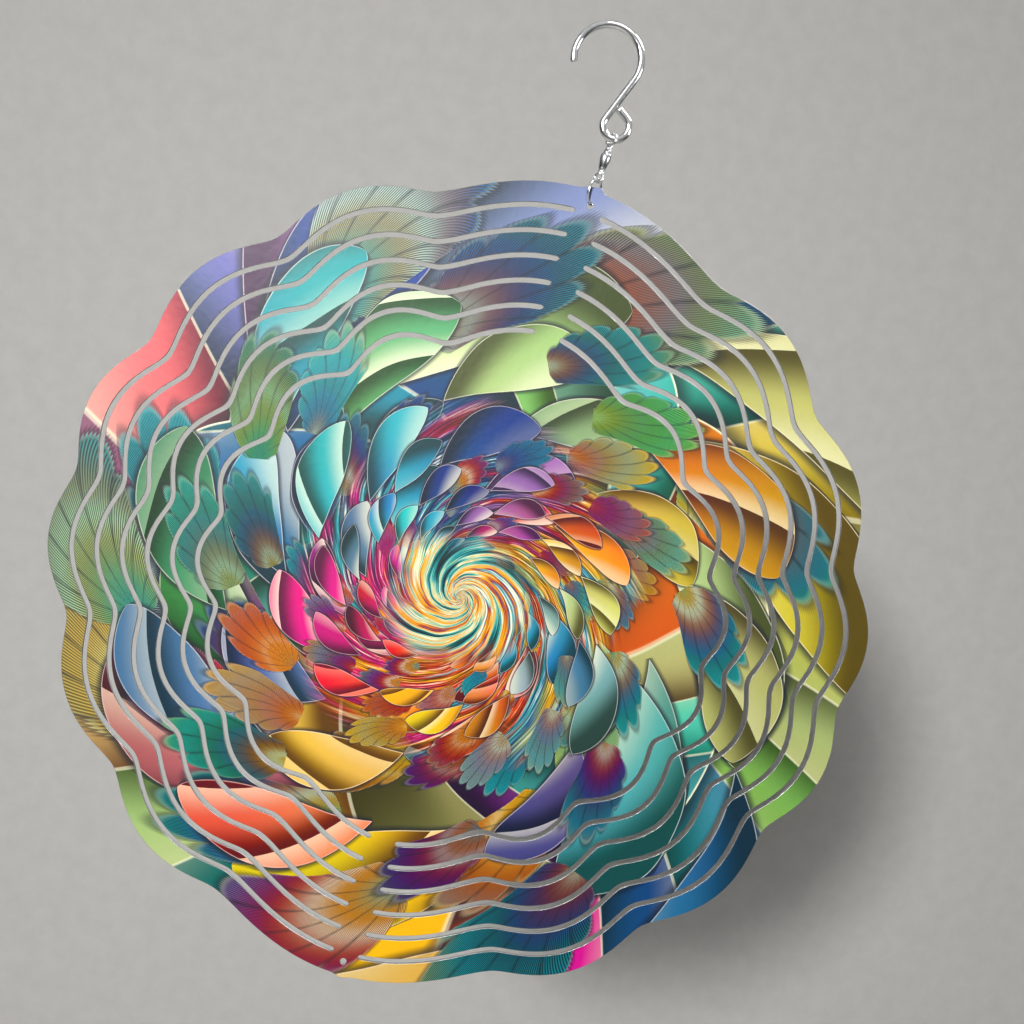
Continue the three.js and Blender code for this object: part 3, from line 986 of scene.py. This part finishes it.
RING_PRINT = print_material("printed_gloss_rings", False)
DISC_PRINT = print_material("printed_gloss_disc", True)
CUT_EDGE = cut_edge_material()
CHROME = plated_material("bright_plating", (0.82, 0.83, 0.84), 0.07)
BARREL_METAL = plated_material("barrel_plating", (0.66, 0.67, 0.69), 0.16)


# ---------------------------------------------------------------- the sculpture
bodies = [ring_piece(index) for index in range(1, SLITS + 2)]
for slit in range(1, SLITS + 1):
    for side in (1, -1):
        neck_piece(slit, side)
hook_piece()
barrel_top = BARREL_LOW + BARREL_LENGTH
swivel_eye("swivel_upper_eye_wire", "swivel_upper_eye", half_width=2.0, twist_length=1.75,
           length=UPPER_EYE_TOP - barrel_top, turn=UPPER_EYE_TURN, base=barrel_top, up=1)
swivel_eye("swivel_lower_eye_wire", "swivel_lower_eye", half_width=1.3, twist_length=1.3,
           length=BARREL_LOW - LOWER_EYE_LOW, turn=RING_TURN, base=BARREL_LOW, up=-1)
barrel_piece()
jump_ring_piece()


# ---------------------------------------------------------------- stage
CAMERA_AT = (-0.0144, -0.4334, -0.1135)
CAMERA_AIM = (0.0150, 0.0, -0.1467)
CAMERA_ROLL = -18.15  # degrees: the sculpture leans to the right in the view
CAMERA_LENS, CAMERA_SENSOR = 50.0, 36.0  # millimetres
WALL_BEHIND, WALL_TOP = 0.85, 2.2  # the wall is further back than a camera that looks from behind
FLOOR_BELOW, FLOOR_REACH = -1.1, 3.0
SWEEP_RADIUS, SWEEP_HALF_WIDTH = 0.25, 9.0


def camera():
    data = bpy.data.cameras.new("camera")
    data.lens, data.sensor_width = CAMERA_LENS, CAMERA_SENSOR
    data.clip_start, data.clip_end = 0.01, 20.0
    made = bpy.data.objects.new("camera", data)
    bpy.context.scene.collection.objects.link(made)
    look = (Vector(CAMERA_AIM) - Vector(CAMERA_AT)).to_track_quat("-Z", "Y")
    roll = Matrix.Rotation(math.radians(-CAMERA_ROLL), 4, "Z")
    made.matrix_world = Matrix.Translation(CAMERA_AT) @ look.to_matrix().to_4x4() @ roll
    bpy.context.scene.camera = made


def backdrop():
    """A pale sweep: a wall that curves into a floor."""
    profile = [(-FLOOR_REACH, FLOOR_BELOW)]
    for t in np.linspace(0, np.pi / 2, 13):
        y = WALL_BEHIND - SWEEP_RADIUS * (1 - math.sin(t))
        profile.append((y, FLOOR_BELOW + SWEEP_RADIUS * (1 - math.cos(t))))
    profile.append((WALL_BEHIND, WALL_TOP))
    points = [(x, y, z) for y, z in profile for x in (-SWEEP_HALF_WIDTH, SWEEP_HALF_WIDTH)]
    faces = [(2 * i, 2 * i + 1, 2 * i + 3, 2 * i + 2) for i in range(len(profile) - 1)]
    mesh = bpy.data.meshes.new("backdrop")
    mesh.from_pydata(points, [], faces)
    mesh.polygons.foreach_set("use_smooth", [True] * len(faces))
    material = new_material("backdrop_paper")
    grain = noise(node("ShaderNodeTexCoord").outputs["Object"], 60.0, 3.0, 0.6)
    colour = ramp(grain, [(0.35, (0.76, 0.76, 0.75)), (0.65, (0.8, 0.8, 0.79))])
    paper = node("ShaderNodeBsdfDiffuse")
    feed(paper.inputs["Color"], colour)
    feed(node("ShaderNodeOutputMaterial").inputs[0], paper.outputs[0])
    mesh.materials.append(material)
    made = bpy.data.objects.new("backdrop", mesh)
    bpy.context.scene.collection.objects.link(made)


def lamp(name, at, aim, size, power, colour, gloss_only=False):
    """A round soft lamp. A gloss-only lamp shows in the metal and the gloss and lights nothing."""
    data = bpy.data.lights.new(name, "AREA")
    data.shape, data.size, data.energy, data.color = "DISK", size, power, colour
    made = bpy.data.objects.new(name, data)
    bpy.context.scene.collection.objects.link(made)
    made.location = at
    made.rotation_mode = "QUATERNION"
    made.rotation_quaternion = (Vector(aim) - Vector(at)).to_track_quat("-Z", "Y")
    made.visible_camera = False
    made.visible_diffuse = not gloss_only


def surroundings():
    """A soft grey room, brighter above than below. It shows behind the object and in its metal, and
    doesn't light it."""
    world = bpy.data.worlds.new("room")
    bpy.context.scene.world = world
    world.use_nodes = True
    world.node_tree.nodes.clear()
    Num.tree = world.node_tree
    height = parts(node("ShaderNodeTexCoord").outputs["Generated"])[2]
    shades = [(0.0, 0.04), (0.4, 0.12), (0.5, 0.32), (0.6, 0.44), (1.0, 0.7)]
    colour = ramp(height * 0.5 + 0.5, [(at, (grey, grey, grey)) for at, grey in shades])
    shine = node("ShaderNodeBackground")
    feed(shine.inputs[0], colour)
    feed(node("ShaderNodeOutputWorld").inputs[0], shine.outputs[0])
    world.cycles_visibility.diffuse = False


bpy.context.scene.view_settings.view_transform = "Standard"
camera()
backdrop()
surroundings()
AIM, HOOK = (0.0, 0.0, -0.16), (0.0, 0.0, -0.02)
WARM, WHITE = (1.0, 0.98, 0.95), (1.0, 1.0, 1.0)
lamp("key", (-0.32, -1.05, 0.08), AIM, 0.12, 19.5, WARM)
lamp("left_box", (-1.0, -1.2, 0.36), HOOK, 0.8, 7.0, WHITE, gloss_only=True)
lamp("right_box", (1.0, -0.45, 0.1), AIM, 0.35, 4.0, WHITE, gloss_only=True)
lamp("back", (0.5, 0.7, 0.75), (0.5, -1.0, 0.75), 0.3, 34.0, WARM)  # faces away from the wall
lamp("top_box", (0.1, -0.5, 1.0), AIM, 0.6, 6.0, WHITE, gloss_only=True)
